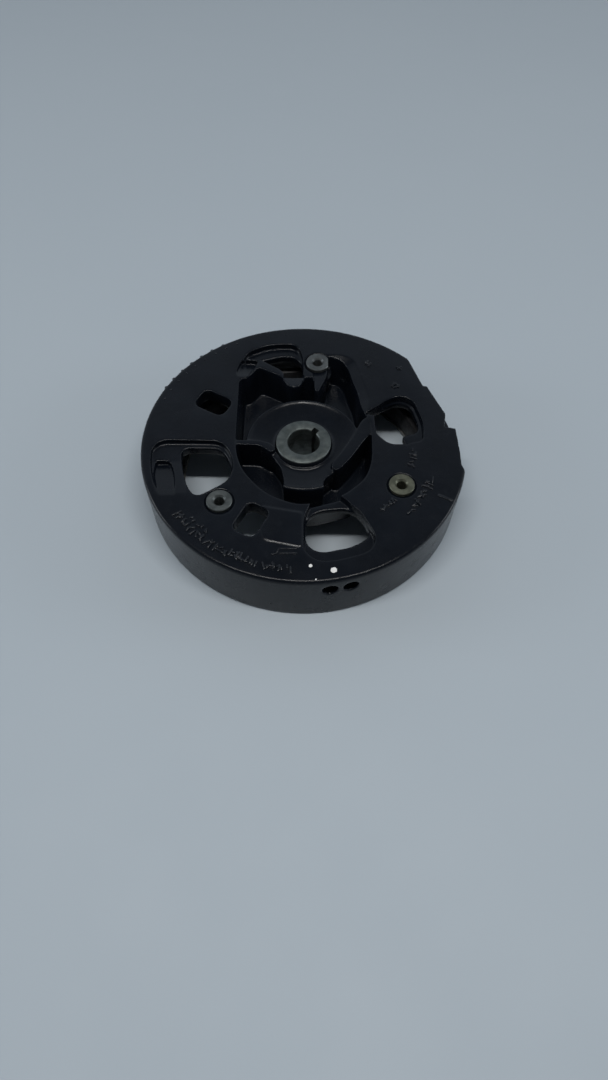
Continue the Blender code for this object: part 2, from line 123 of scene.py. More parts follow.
SCREW_RADIUS_FROM_AXIS = 68.9
SCREW_HOLE_RADIUS = 1.6
MAGNET_PITCH = 360 / MAGNET_COUNT
FIRST_MAGNET_ANGLE = 30
SLEEVE_RADIUS = 19.5
CARRIER_INNER = 19.9
CARRIER_OUTER = carrier_high.x
TRIGGER_COUNT = 4
TRIGGER_INNER = 23.3
TRIGGER_ARC = 40
TRIGGER_SEAT_INNER = 23.0
TRIGGER_SEAT_ARC = 41.4
ROUND_STEPS = 6
VOXEL = 0.42
CASTING_TRIANGLES = 195000
ABOVE = TOP_Z + 4.0


# ---------------------------------------------------------------- outlines


def polar(radius, degrees):
    angle = math.radians(degrees)
    return radius * math.cos(angle), radius * math.sin(angle)


def rounded(corners):
    """A closed outline from corners (x, y, reach): reach is how far each side is given up to the round."""
    outline = []
    count = len(corners)
    for i, (x, y, reach) in enumerate(corners):
        if reach <= 0:
            outline.append((x, y))
            continue
        ends = []
        for ox, oy, _ in (corners[i - 1], corners[(i + 1) % count]):
            side = math.hypot(ox - x, oy - y)
            part = min(reach, 0.45 * side) / side
            ends.append((x + (ox - x) * part, y + (oy - y) * part))
        (ax, ay), (bx, by) = ends
        for k in range(ROUND_STEPS + 1):
            t = k / ROUND_STEPS
            p, q, r = (1 - t) ** 2, 2 * t * (1 - t), t * t
            outline.append((p * ax + q * x + r * bx, p * ay + q * y + r * by))
    return outline


def turned_about(outline, centre, degrees):
    c, s = math.cos(math.radians(degrees)), math.sin(math.radians(degrees))
    return [(centre[0] + x * c - y * s, centre[1] + x * s + y * c) for x, y in outline]


def sector(inner, outer, middle, width, steps):
    """A closed ring sector, width degrees wide about the angle middle."""
    angles = [middle - width / 2 + width * k / steps for k in range(steps + 1)]
    return [polar(outer, a) for a in angles] + [polar(inner, a) for a in reversed(angles)]


def box_outline(length, width, reach):
    a, b = length / 2, width / 2
    return rounded([(-a, -b, reach), (a, -b, reach), (a, b, reach), (-a, b, reach)])


def bowl_outline():
    """The bowl with its two lobes; the narrow tongue between the lobes carries the first insert."""
    near_side = [
        (-35.2, 16.0, 6), (-35.0, -6.0, 8), (-30.6, -19.5, 8), (-18.5, -33.3, 8), (-4.0, -39.2, 6),
        (4.0, -38.8, 4), (10.5, -36.6, 4), (18.5, -34.2, 3), (24.6, -29.6, 5), (31.5, -22.5, 7),
        (35.0, -11.5, 7), (35.4, 12.0, 3), (32.4, 20.0, 3),
    ]
    right_lobe = [
        (30.6, 25.5, 4), (29.0, 36.3, 5), (26.4, 44.5, 5), (24.4, 53.5, 4), (21.0, 59.2, 3),
        (12.6, 61.6, 2.5), (12.6, 48.0, 3), (9.9, 40.7, 3),
    ]
    tongue_and_shelf = [
        (7.4, 34.6, 1.2), (5.6, 36.5, 1.2), (5.2, 45.0, 2), (-0.6, 45.0, 2), (-1.6, 40.6, 2),
        (-5.6, 37.2, 3), (-9.7, 40.6, 2),
    ]
    left_lobe = [(-11.9, 45.2, 3), (-25.6, 52.3, 3), (-31.0, 43.8, 3), (-35.4, 43.2, 3)]
    return rounded(near_side + right_lobe + tongue_and_shelf + left_lobe)


# Two near corners, at (0.0, -42.8) and (29.0, -33.5), lie further out than in the CAD, whose bowl wall
# is missing or very thin there
BOWL_ENVELOPE = [
    (-36.6, 45.0, 5), (-36.6, -10.0, 12), (-22.0, -33.5, 12), (0.0, -42.8, 12), (29.0, -33.5, 8),
    (36.6, -10.0, 12), (36.4, 20.0, 8), (30.8, 38.0, 6), (23.5, 60.2, 5), (11.4, 62.6, 4),
    (-13.0, 48.0, 8), (-27.0, 53.5, 5),
]
WINDOWS = {
    "left": [
        (-62.0, -5.4, 2), (-58.8, -3.0, 2), (-42.0, -3.0, 5), (-37.0, -11.0, 6), (-35.2, -20.0, 5),
        (-37.8, -26.0, 5), (-51.5, -35.0, 4), (-56.2, -30.5, 5), (-60.6, -16.0, 6),
    ],
    "back": [
        (-1.2, 45.9, 1), (-1.2, 57.6, 4), (-5.6, 62.6, 4), (-13.0, 63.0, 4), (-26.0, 58.4, 1.5),
        (-12.6, 49.6, 2), (-10.6, 45.7, 1),
    ],
    "right": [
        (31.6, 19.6, 1), (42.2, 27.4, 5), (50.0, 31.2, 5), (56.6, 28.4, 4), (60.2, 15.0, 4),
        (58.6, 10.4, 2), (50.6, 7.6, 2), (53.8, -0.8, 1), (43.4, -0.8, 5), (37.6, 6.0, 4), (37.2, 18.0, 1),
    ],
    "front": [
        (1.4, -45.0, 5), (1.4, -58.6, 5), (8.2, -63.6, 5), (24.6, -59.6, 5), (33.0, -53.2, 4),
        (27.8, -42.2, 6), (20.6, -38.0, 4), (7.2, -40.0, 4),
    ],
}
RECESSES = {
    "left": [
        (-76.8, -6.0, 5), (-72.6, -0.2, 5), (-42.0, -0.2, 6), (-36.2, -8.0, 5), (-34.6, -18.0, 3),
        (-37.6, -23.0, 2), (-58.0, -14.0, 2), (-62.0, -12.0, 1), (-76.3, -12.0, 1),
    ],
    "back": [
        (-0.7, 45.9, 1), (-0.7, 60.0, 6), (-4.6, 69.4, 6), (-20.0, 68.6, 8), (-31.4, 62.6, 4),
        (-33.8, 55.6, 3), (-31.2, 57.8, 1), (-23.4, 57.2, 1), (-12.4, 49.6, 2), (-10.4, 45.7, 1),
    ],
    "right": [
        (36.4, 22.4, 1), (41.6, 27.8, 5), (50.0, 32.2, 5), (57.6, 29.2, 4), (61.8, 14.0, 4),
        (61.0, 2.0, 3), (53.0, -0.2, 2), (43.4, -0.2, 4), (37.2, 6.0, 2),
    ],
    "front": [
        (4.4, -36.0, 1), (0.7, -46.0, 4), (0.7, -64.6, 3), (6.6, -70.4, 4), (16.0, -70.0, 6),
        (31.6, -65.0, 5), (35.2, -57.4, 5), (29.8, -46.0, 6), (21.4, -36.2, 3), (18.0, -33.0, 1),
    ],
}
RECESS_FLOORS = {"left": HIGH_LEDGE_Z, "back": LEDGE_Z + 0.9, "right": LEDGE_Z, "front": LEDGE_Z}
# Sloping floors: an outline, then the height at y = 0 and the rise for each millimetre of y
RAMPS = {
    "left_run_out": (
        [
            (-76.5, -11.4, 0.5), (-60.0, -11.4, 0.5), (-58.6, -20, 1), (-56.0, -35, 1), (-70.4, -37, 2),
            (-75.3, -20, 5),
        ],
        HIGH_LEDGE_Z - 1.58, -0.132,
    ),
    "left_step": (
        [
            (-74.1, -11.4, 1.5), (-67.2, -11.4, 2.5), (-65.2, -16.0, 3), (-63.4, -23.0, 3), (-62.0, -35.0, 1),
            (-69.6, -37.0, 2), (-74.4, -20.0, 5),
        ],
        23.4, -0.25,
    ),
    "finger_strip": (
        [
            (-25.4, 56.2, 1), (-26.6, 51.4, 2), (-30.4, 44.8, 2), (-33.4, 43.0, 2), (-37.0, 45.6, 2.5),
            (-36.2, 51.0, 3), (-34.4, 56.6, 1),
        ],
        43.0, -0.25,
    ),
    "window_shelf": (
        [
            (0.0, 46.8, 0), (-0.4, 41.0, 3), (-3.0, 36.6, 3), (-8.4, 36.6, 3), (-11.4, 41.4, 2),
            (-11.2, 46.8, 0),
        ],
        39.3, -0.2,
    ),
    "tongue": (
        [(5.0, 33.0, 0), (13.4, 40.0, 2), (13.4, 50.0, 0), (4.6, 50.0, 0), (4.6, 36.0, 1)],
        34.2, -0.066,
    ),
}
NEAR_LEFT_POCKET = [
    (-33.6, -1.2, 3), (-30.4, -18.5, 6), (-18.6, -32.4, 8), (-11.0, -36.0, 3), (-9.6, -24.5, 3),
    (-11.3, -15.0, 2), (-16.6, -6.4, 3), (-22.6, -1.6, 3),
]
NEAR_RIGHT_POCKET = [
    (11.0, -35.0, 3), (20.0, -32.0, 4), (28.0, -24.0, 6), (34.6, -11.5, 6), (35.0, 7.0, 2),
    (31.4, 2.6, 4), (24.6, -8.6, 6), (15.6, -18.0, 5), (10.2, -22.5, 3),
]
RIGHT_VANE = [
    (29.6, 14.8, 2.6), (32.8, 17.8, 2.8), (36.3, 14.6, 2.6), (35.9, 8.0, 3), (31.0, 2.2, 4),
    (24.0, -9.4, 6), (16.6, -18.6, 4), (13.2, -14.4, 4), (19.6, -5.0, 6), (26.0, 6.0, 6),
]
LEFT_RIB = [
    (-36.4, 1.4, 1), (-36.4, -1.6, 1), (-22.4, -1.8, 3), (-16.4, -6.6, 2), (-13.9, -4.4, 1),
    (-16.2, -0.6, 3), (-22.0, 1.5, 3),
]
RIM_RELIEF = [
    polar(radius, angle)
    for radius, angle in (
        (82.9, 47.5), (74.7, 31.9), (76.4, 31.0), (76.5, 15.0), (73.4, 8.8), (78.9, 7.4), (79.4, -4.4),
        (80.1, -9.4), (83.0, -12.4), (95.0, -12.4), (95.0, 17.0), (95.0, 47.5),
    )
]
FRONT_PANEL = [(-23.0, -40.0, 1), (-0.2, -44.0, 1), (-0.2, -63.2, 2), (-18.4, -59.2, 2)]
LOBE_BEVEL = [
    (33.6, 15.4), (31.4, 22.6), (29.9, 31.0), (28.6, 37.0), (26.3, 45.0), (24.0, 53.6), (20.2, 58.9),
    (12.0, 61.2),
]


# ---------------------------------------------------------------- solids


def object_from(bm, name):
    bmesh.ops.recalc_face_normals(bm, faces=bm.faces)
    bmesh.ops.scale(bm, vec=(MM, MM, MM), verts=bm.verts)
    mesh = bpy.data.meshes.new(name)
    bm.to_mesh(mesh)
    bm.free()
    made = bpy.data.objects.new(name, mesh)
    bpy.context.scene.collection.objects.link(made)
    return made


def prism(name, outline, low, high, foot=1.0):
    """An outline extruded from low to high; foot scales its lower end about the axis."""
    bm = bmesh.new()
    lower = [bm.verts.new((x * foot, y * foot, low)) for x, y in outline]
    upper = [bm.verts.new((x, y, high)) for x, y in outline]
    bm.faces.new(lower)
    bm.faces.new(upper)
    for k in range(len(outline)):
        n = (k + 1) % len(outline)
        bm.faces.new((lower[k], lower[n], upper[n], upper[k]))
    return object_from(bm, name)


def ramp(name, outline, floor, slope):
    """A cutter whose floor slopes along Y: its height is floor + slope * y."""
    bm = bmesh.new()
    lower = [bm.verts.new((x, y, floor + slope * y)) for x, y in outline]
    upper = [bm.verts.new((x, y, ABOVE)) for x, y in outline]
    bm.faces.new(lower)
    bm.faces.new(upper)
    for k in range(len(outline)):
        n = (k + 1) % len(outline)
        bm.faces.new((lower[k], lower[n], upper[n], upper[k]))
    return object_from(bm, name)


def smooth_path(points, steps):
    """A Catmull-Rom curve through open points (x, y)."""
    ends = [points[0], *points, points[-1]]
    path = []
    for a, b, c, d in zip(ends, ends[1:], ends[2:], ends[3:]):
        for k in range(steps):
            t = k / steps
            path.append(
                tuple(
                    0.5 * (2 * b[i] + (c[i] - a[i]) * t + (2 * a[i] - 5 * b[i] + 4 * c[i] - d[i]) * t * t
                           + (3 * b[i] - a[i] - 3 * c[i] + d[i]) * t ** 3)
                    for i in (0, 1)
                )
            )
    return [*path, points[-1]]


def bevel_strip(name, path, reach, drop):
    """A cutter that slopes the land on the right of an open path down to it, dying out at both ends."""
    bm = bmesh.new()
    rows = []
    last = len(path) - 1
    for k, (x, y) in enumerate(path):
        before, after = path[max(k - 1, 0)], path[min(k + 1, last)]
        dx, dy = after[0] - before[0], after[1] - before[1]
        nx, ny = dy / math.hypot(dx, dy), -dx / math.hypot(dx, dy)
        share = max(0.06, min(1.0, 4 * k / last, 4 * (last - k) / last))
        row = (
            (x - nx, y - ny, TOP_Z - drop * share),
            (x, y, TOP_Z - drop * share),
            (x + nx * reach * share, y + ny * reach * share, TOP_Z + 0.03),
            (x + nx * reach * share, y + ny * reach * share, ABOVE),
            (x - nx, y - ny, ABOVE),
        )
        rows.append([bm.verts.new(corner) for corner in row])
    bm.faces.new(rows[0])
    bm.faces.new(rows[-1])
    for lower, upper in zip(rows, rows[1:]):
        for k in range(5):
            n = (k + 1) % 5
            bm.faces.new((lower[k], lower[n], upper[n], upper[k]))
    return object_from(bm, name)


def lathe(name, profile, steps, reshape=None):
    """A closed profile (radius, height) spun round Z; reshape(radius, height, degrees) may change a radius.

    The first step is half a step round, so that two lathed solids never share a plane.
    """
    bm = bmesh.new()
    rings = []
    for j in range(steps):
        degrees = 360 * (j + 0.5) / steps
        ring = []
        for r, z in profile:
            radius = reshape(r, z, degrees) if reshape else r
            ring.append(bm.verts.new((*polar(radius, degrees), z)))
        rings.append(ring)
    for ring, following in zip(rings, rings[1:] + rings[:1], strict=True):
        for k in range(len(profile)):
            n = (k + 1) % len(profile)
            bm.faces.new((ring[k], ring[n], following[n], following[k]))
    bmesh.ops.remove_doubles(bm, verts=bm.verts, dist=0.0001)
    return object_from(bm, name)


def cylinder(name, radius, low, high, steps):
    return prism(name, [polar(radius, 360 * k / steps) for k in range(steps)], low, high)


TOOLS = []


def combine(body, tool, operation):
    step = body.modifiers.new(tool.name, "BOOLEAN")
    step.operation = operation
    step.solver = "EXACT"
    step.object = tool
    TOOLS.append(tool)


def cut(body, tool):
    combine(body, tool, "DIFFERENCE")


def join(body, tool):
    combine(body, tool, "UNION")


def settle(body):
    """Applies the body's modifiers and removes the tools they used."""
    evaluated = body.evaluated_get(bpy.context.evaluated_depsgraph_get())
    mesh = bpy.data.meshes.new_from_object(evaluated)
    body.modifiers.clear()
    body.data = mesh
    for tool in TOOLS:
        bpy.data.objects.remove(tool)
    TOOLS.clear()


def move_to(thing, x, y, z=0.0):
    thing.location = (x * MM, y * MM, z * MM)
    return thing


def bake_place(thing):
    """Writes an object's place and turn into its mesh, so that it sits at the origin."""
    bpy.context.view_layer.update()
    thing.data.transform(thing.matrix_world)
    thing.matrix_world = Matrix.Identity(4)


def machined(thing, width, segments=2):
    """Small bevels on the sharp edges, then smooth shading between them."""
    bevel = thing.modifiers.new("edge_break", "BEVEL")
    bevel.width = width * MM
    bevel.segments = segments
    bevel.limit_method = "ANGLE"
    bevel.angle_limit = math.radians(35)
    bevel.use_clamp_overlap = True
    settle(thing)
    thing.data.shade_smooth()
    thing.data.set_sharp_from_angle(angle=math.radians(38))


def finish_piece(thing, surface, slot, *nodes):
    thing.data.materials.clear()
    thing.data.materials.append(surface)
    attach(thing, "root")
    if nodes:
        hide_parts(*nodes)


# ---------------------------------------------------------------- materials


class Shader:
    """A Principled material with short calls for the nodes that feed it."""

    def __init__(self, name, metallic=0.0):
        self.made = bpy.data.materials.new(name)
        self.made.use_nodes = True
        self.tree = self.made.node_tree
        self.out = self.tree.nodes["Principled BSDF"]
        self.out.inputs["Metallic"].default_value = metallic
        self.place = self.tree.nodes.new("ShaderNodeTexCoord").outputs["Object"]

    def node(self, kind, **values):
        made = self.tree.nodes.new(kind)
        for key, value in values.items():
            setattr(made, key, value)
        return made

    def link(self, source, target):
        self.tree.links.new(source, target)

    def noise(self, scale, detail=4.0, roughness=0.55):
        made = self.node("ShaderNodeTexNoise")
        made.inputs["Scale"].default_value = scale
        made.inputs["Detail"].default_value = detail
        made.inputs["Roughness"].default_value = roughness
        self.link(self.place, made.inputs["Vector"])
        return made.outputs["Fac"]

    def ranged(self, source, low, high, to_low, to_high):
        made = self.node("ShaderNodeMapRange")
        made.inputs["From Min"].default_value = low
        made.inputs["From Max"].default_value = high
        made.inputs["To Min"].default_value = to_low
        made.inputs["To Max"].default_value = to_high
        self.link(source, made.inputs["Value"])
        return made.outputs["Result"]

    def maths(self, operation, first, second):
        made = self.node("ShaderNodeMath", operation=operation)
        for socket, value in zip(made.inputs, (first, second)):
            if isinstance(value, (int, float)):
                socket.default_value = value
            else:
                self.link(value, socket)
        return made.outputs["Value"]

    def mixed(self, amount, first, second):
        made = self.node("ShaderNodeMix", data_type="RGBA")
        self.link(amount, made.inputs["Factor"])
        for socket, value in ((made.inputs[6], first), (made.inputs[7], second)):
            if isinstance(value, tuple):
                socket.default_value = (*value, 1.0)
            else:
                self.link(value, socket)
        return made.outputs[2]

    def edges(self, low, high):
        """1 on outward edges and 0 elsewhere."""
        return self.ranged(self.node("ShaderNodeNewGeometry").outputs["Pointiness"], low, high, 0.0, 1.0)

    def radius_from(self, centre):
        """Distance from an upright axis through centre (x, y), in metres."""
        apart = self.node("ShaderNodeSeparateXYZ")
        self.link(self.place, apart.inputs["Vector"])
        dx = self.maths("SUBTRACT", apart.outputs["X"], centre[0] * MM)
        dy = self.maths("SUBTRACT", apart.outputs["Y"], centre[1] * MM)
        squares = self.maths("ADD", self.maths("MULTIPLY", dx, dx), self.maths("MULTIPLY", dy, dy))
        return self.maths("SQRT", squares, 0.0)

    def turning_lines(self, centre, pitch):
        """Fine lathe lines about an axis, pitch millimetres apart."""
        turns = self.maths("MULTIPLY", self.radius_from(centre), 2 * math.pi / (pitch * MM))
        wobble = self.maths("MULTIPLY", self.noise(260.0, 2.0), 9.0)
        return self.maths("SINE", self.maths("ADD", turns, wobble), 0.0)

    def colour(self, source):
        self.link(source, self.out.inputs["Base Color"])

    def roughness(self, source):
        self.link(source, self.out.inputs["Roughness"])

    def bump(self, source, depth, below=None):
        """Bump of depth millimetres; below is an earlier bump that this one adds to."""
        made = self.node("ShaderNodeBump")
        made.inputs["Distance"].default_value = depth * MM
        made.inputs["Strength"].default_value = 1.0
        self.link(source, made.inputs["Height"])
        if below:
            self.link(below, made.inputs["Normal"])
        self.link(made.outputs["Normal"], self.out.inputs["Normal"])
        return made.outputs["Normal"]


def paint_surface():
    """Blue-black satin paint over a cast surface, rubbed lighter on its edges."""
    shader = Shader("painted_casting")
    blotches = shader.ranged(shader.noise(38.0, 5.0), 0.35, 0.68, 0.0, 1.0)
    base = shader.mixed(blotches, (0.0026, 0.0038, 0.0066), (0.0044, 0.0062, 0.0100))
    dust = shader.ranged(shader.noise(210.0, 6.0, 0.7), 0.56, 0.78, 0.0, 0.3)
    dusty = shader.mixed(dust, base, (0.012, 0.015, 0.019))
    edges = shader.edges(0.515, 0.56)
    patches = shader.ranged(shader.noise(120.0), 0.4, 0.65, 0.2, 1)
    rub = shader.maths("MULTIPLY", edges, patches)
    rub = shader.maths("MULTIPLY", rub, 0.4)
    shader.colour(shader.mixed(rub, dusty, (0.035, 0.04, 0.047)))
    shader.roughness(shader.ranged(shader.noise(95.0, 6.0, 0.65), 0.3, 0.7, 0.19, 0.31))
    orange_peel = shader.bump(shader.noise(420.0, 3.0), 0.05)
    shader.bump(shader.noise(1900.0, 3.0), 0.02, orange_peel)
    shader.out.inputs["Coat Weight"].default_value = 0.05
    shader.out.inputs["Coat Roughness"].default_value = 0.12
    shader.out.inputs["Specular IOR Level"].default_value = 0.22
    return shader.made


def turned_steel(name, centre, dull, bright, pitch, rough, dark_walls=None):
    """Lathe-turned steel about an upright axis, with handling stains.

    The last argument, where given, is the radius and the top of walls that are coloured dark and not metallic
    instead of steel.
    """
    shader = Shader(name, metallic=0.85)
    stains = shader.ranged(shader.noise(230.0, 6.0, 0.65), 0.36, 0.66, 0.0, 1.0)
    lines = shader.turning_lines(centre, pitch)
    tone = shader.mixed(stains, dull, bright)
    dark_lines = shader.ranged(lines, -1.0, -0.2, 0.22, 0.0)
    pits = shader.ranged(shader.noise(900.0, 4.0, 0.7), 0.62, 0.72, 0.0, 0.6)
    tone = shader.mixed(shader.maths("MAXIMUM", dark_lines, pits), tone, tuple(0.35 * c for c in dull))
    # Walls outside the given radius and below the given top get a dark, non-metallic colour.
    if dark_walls:
        side_radius, side_top = dark_walls
        apart = shader.node("ShaderNodeSeparateXYZ")
        shader.link(shader.place, apart.inputs["Vector"])
        fade = 0.3
        reach = shader.radius_from(centre)
        outside = shader.ranged(reach, (side_radius - fade) * MM, side_radius * MM, 0.0, 1.0)
        below = shader.ranged(apart.outputs["Z"], (side_top - fade) * MM, side_top * MM, 1.0, 0.0)
        paint = shader.maths("MULTIPLY", outside, below)
        tone = shader.mixed(paint, tone, (0.006, 0.008, 0.012))
        shader.link(shader.ranged(paint, 0.0, 1.0, 0.85, 0.0), shader.out.inputs["Metallic"])
    shader.colour(tone)
    shader.roughness(shader.ranged(shader.noise(340.0, 5.0), 0.3, 0.7, rough - 0.08, rough + 0.12))
    under = shader.bump(lines, 0.006)
    shader.bump(shader.noise(1500.0, 4.0), 0.012, under)
    return shader.made


def iron_surface(name, dull, bright, rust):
    """Rolled iron with a thin bloom of rust."""
    shader = Shader(name, metallic=0.7)
    tone = shader.mixed(shader.ranged(shader.noise(90.0, 6.0), 0.35, 0.65, 0.0, 1.0), dull, bright)
    bloom = shader.ranged(shader.noise(150.0, 8.0, 0.7), 0.55, 0.72, 0.0, 0.7)
    shader.colour(shader.mixed(bloom, tone, rust))
    shader.roughness(shader.ranged(shader.noise(300.0, 5.0), 0.3, 0.7, 0.45, 0.75))
    shader.bump(shader.noise(1100.0, 6.0, 0.7), 0.03)
    return shader.made


def ferrite_surface():
    """Ground ferrite: charcoal grey, finely grained, with small chips."""
    shader = Shader("ferrite", metallic=0.15)
    tone = shader.mixed(shader.noise(420.0, 8.0, 0.7), (0.012, 0.012, 0.0135), (0.026, 0.026, 0.029))
    chips = shader.ranged(shader.noise(260.0, 3.0), 0.66, 0.72, 0.0, 1.0)
    shader.colour(shader.mixed(chips, tone, (0.008, 0.008, 0.009)))
    shader.roughness(shader.ranged(shader.noise(700.0, 4.0), 0.3, 0.7, 0.42, 0.66))
    coarse = shader.bump(chips, -0.12)
    shader.bump(shader.noise(2300.0, 4.0), 0.02, coarse)
    return shader.made


def resin_surface():
    """Black moulded resin, matt with glossier runs."""
    shader = Shader("resin")
    tone = shader.mixed(shader.noise(150.0, 5.0), (0.008, 0.0083, 0.0087), (0.018, 0.0185, 0.02))
    shader.colour(tone)
    shader.roughness(shader.ranged(shader.noise(60.0, 4.0), 0.35, 0.65, 0.34, 0.62))
    shader.bump(shader.noise(900.0, 5.0), 0.03)
    return shader.made


def white_paint():
    shader = Shader("dab_paint")
    tone = shader.mixed(shader.noise(500.0, 4.0), (0.72, 0.72, 0.70), (0.88, 0.88, 0.87))
    shader.colour(tone)
    shader.roughness(shader.ranged(shader.noise(400.0), 0.3, 0.7, 0.4, 0.6))
    shader.bump(shader.noise(1300.0), 0.04)
    return shader.made


def floor_surface():
    """A pale painted board with faint unevenness."""
    shader = Shader("floor")
    tone = shader.mixed(shader.noise(3.0, 5.0), (0.405, 0.462, 0.515), (0.437, 0.494, 0.542))
    shader.colour(tone)
    shader.roughness(shader.ranged(shader.noise(20.0), 0.3, 0.7, 0.6, 0.7))
    shader.bump(shader.noise(700.0, 3.0), 0.02)
    return shader.made


# ---------------------------------------------------------------- the casting


def rim_blank():
    return lathe(
        "cast_wheel",
        [
            (PLATE_INNER_RADIUS, PLATE_BOTTOM_Z),
            (PLATE_INNER_RADIUS, TOP_Z),
            (RIM_RADIUS - 1.5, TOP_Z),
            (RIM_RADIUS - 0.6, TOP_Z - 0.35),
            (RIM_RADIUS - 0.1, TOP_Z - 1.2),
            (RIM_RADIUS, TOP_Z - 2.0),
            (RIM_FOOT_RADIUS, 0.7),
            (RIM_FOOT_RADIUS - 0.7, 0.0),
            (SKIRT_INNER_RADIUS + 0.5, 0.0),
            (SKIRT_INNER_RADIUS, 0.5),
            (SKIRT_INNER_RADIUS, SHOULDER_Z),
            (SHOULDER_RADIUS, SHOULDER_Z),
            (SHOULDER_RADIUS - 0.5, PLATE_BOTTOM_Z),
        ],
        240,
    )


def boss_blank():
    return lathe(
        "boss_blank",
        [
            (10.0, 3.0),
            (10.0, BOSS_ROOT_Z + 0.9),
            (14.8, BOSS_ROOT_Z + 0.9),
            (15.3, BOSS_ROOT_Z + 0.15),
            (16.2, BOSS_ROOT_Z - 0.1),
            (22.5, BOSS_ROOT_Z + 0.55),
            (BOSS_RADIUS - 2.4, BOSS_EDGE_Z - 0.8),
            (BOSS_RADIUS - 0.9, BOSS_EDGE_Z),
            (BOSS_RADIUS, BOSS_EDGE_Z - 0.7),
            (BOSS_RADIUS + 1.1, BOWL_FLOOR_Z - 2.6),
            (SLEEVE_RADIUS + 0.4, BOWL_FLOOR_Z - 2.6),
            (SLEEVE_RADIUS, 3.4),
            (SLEEVE_RADIUS - 0.5, 3.0),
        ],
        120,
    )


def cut_hub_seat(body):
    gap = 0.3
    seat = [
        (0.0, hub_low.z - 3.0),
        (0.0, ABOVE),
        (HUB_COLLAR_RADIUS + gap, ABOVE),
        (HUB_COLLAR_RADIUS + gap, BOSS_ROOT_Z - 1.4),
        (HUB_BODY_RADIUS + gap, BOSS_ROOT_Z - 1.4),
        (HUB_BODY_RADIUS + gap, HUB_ANCHOR_TOP_Z + gap),
        (HUB_ANCHOR_RADIUS + gap, HUB_ANCHOR_TOP_Z + gap),
        (HUB_ANCHOR_RADIUS + gap, HUB_ANCHOR_FOOT_Z - gap),
        (HUB_BODY_RADIUS + gap, HUB_ANCHOR_FOOT_Z - gap),
        (HUB_BODY_RADIUS + gap, hub_low.z - 3.0),
    ]
    cut(body, lathe("hub_seat", seat, 96))


def cut_windows(body):
    for side, corners in WINDOWS.items():
        cut(body, prism(f"window_{side}", rounded(corners), -2, ABOVE))
    for side, corners in RECESSES.items():
        cut(body, prism(f"recess_{side}", rounded(corners), RECESS_FLOORS[side], ABOVE))
    for name, (corners, floor, slope) in RAMPS.items():
        cut(body, ramp(name, rounded(corners), floor, slope))
    for number, angle in enumerate(SLOT_ANGLES, 1):
        outline = turned_about(
            box_outline(SLOT_LENGTH, SLOT_WIDTH, 4.5), polar(SLOT_RADIUS_FROM_AXIS, angle), angle
        )
        cut(body, prism(f"slot_{number}", outline, -2, ABOVE))


def cut_insert_seats(body):
    for number, angle in enumerate(INSERT_ANGLES, 1):
        x, y = polar(INSERT_RADIUS_FROM_AXIS, angle)
        low, high = SHOULDER_Z + 0.5, PLATE_BOTTOM_Z + 1
        under = cylinder(f"insert_boss_{number}", INSERT_BOSS_RADIUS, low, high, 40)
        join(body, move_to(under, x, y))
        spot = cylinder(f"insert_spot_{number}", INSERT_SPOT_RADIUS, INSERT_SPOT_Z, ABOVE, 48)
        cut(body, move_to(spot, x, y))
        bore = cylinder(f"insert_bore_{number}", INSERT_BODY_RADIUS + 0.3, 10, ABOVE, 40)
        cut(body, move_to(bore, x, y))


def cut_rim_details(body):
    cut(body, prism("rim_relief", RIM_RELIEF, RELIEF_Z, ABOVE))
    for number, angle in enumerate(BALANCE_ANGLES, 1):
        drill = cylinder(f"balance_drill_{number}", BALANCE_RADIUS, 0, BALANCE_DEPTH + 6, 32)
        drill.rotation_euler = (0, math.radians(90), math.radians(angle))
        cut(body, move_to(drill, *polar(RIM_RADIUS - BALANCE_DEPTH, angle), BALANCE_Z))
    for number in range(TICK_COUNT):
        angle = TICK_FIRST_ANGLE + TICK_PITCH * number
        tick = sector(RIM_RADIUS - 2.0, RIM_RADIUS + 0.7, angle, 1.1, 1)
        join(body, prism(f"tick_{number + 1}", tick, TOP_Z - 7.0, TOP_Z - 0.8))


def cast_skin(body):
    """Turns the sharp solid into a cast one: small voxels, then smoothed, so that every edge has a round."""
    remesh = body.modifiers.new("cast_voxels", "REMESH")
    remesh.mode = "VOXEL"
    remesh.voxel_size = VOXEL * MM
    remesh.adaptivity = 0.0
    smooth = body.modifiers.new("cast_rounds", "SMOOTH")
    smooth.factor = 0.5
    smooth.iterations = 9
    settle(body)
    thin = body.modifiers.new("fewer_faces", "DECIMATE")
    thin.ratio = min(1.0, CASTING_TRIANGLES / (2 * len(body.data.polygons)))
    settle(body)
    body.data.shade_smooth()


def make_casting(surface):
    body = rim_blank()
    shell = prism("bowl_shell", rounded(BOWL_ENVELOPE), BOWL_FLOOR_Z - 3.2, TOP_Z - 0.2, foot=BOWL_FOOT)
    join(body, shell)
    join(body, prism("front_panel", rounded(FRONT_PANEL), TOP_Z - 3, TOP_Z + 0.45))
    cut(body, prism("bowl_cavity", bowl_outline(), BOWL_FLOOR_Z, ABOVE, foot=BOWL_FOOT))
    join(body, boss_blank())
    for side, corners in (("left", NEAR_LEFT_POCKET), ("right", NEAR_RIGHT_POCKET)):
        cut(body, prism(f"near_{side}_pocket", rounded(corners), BOWL_FLOOR_Z + 0.1, ABOVE, foot=BOWL_FOOT))
    join(body, prism("right_vane", rounded(RIGHT_VANE), BOWL_FLOOR_Z - 1, TOP_Z - 0.5))
    join(body, prism("left_rib", rounded(LEFT_RIB), BOWL_FLOOR_Z - 1.5, TOP_Z - 0.9))
    cut_hub_seat(body)
    cut_windows(body)
    cut(body, bevel_strip("lobe_bevel", smooth_path(LOBE_BEVEL, 5), 4.2, 1.7))
    cut_insert_seats(body)
    cut_rim_details(body)
    settle(body)
    cast_skin(body)
    finish_piece(body, surface, "painted_casting", "casting")


# ---------------------------------------------------------------- cast marks and paint


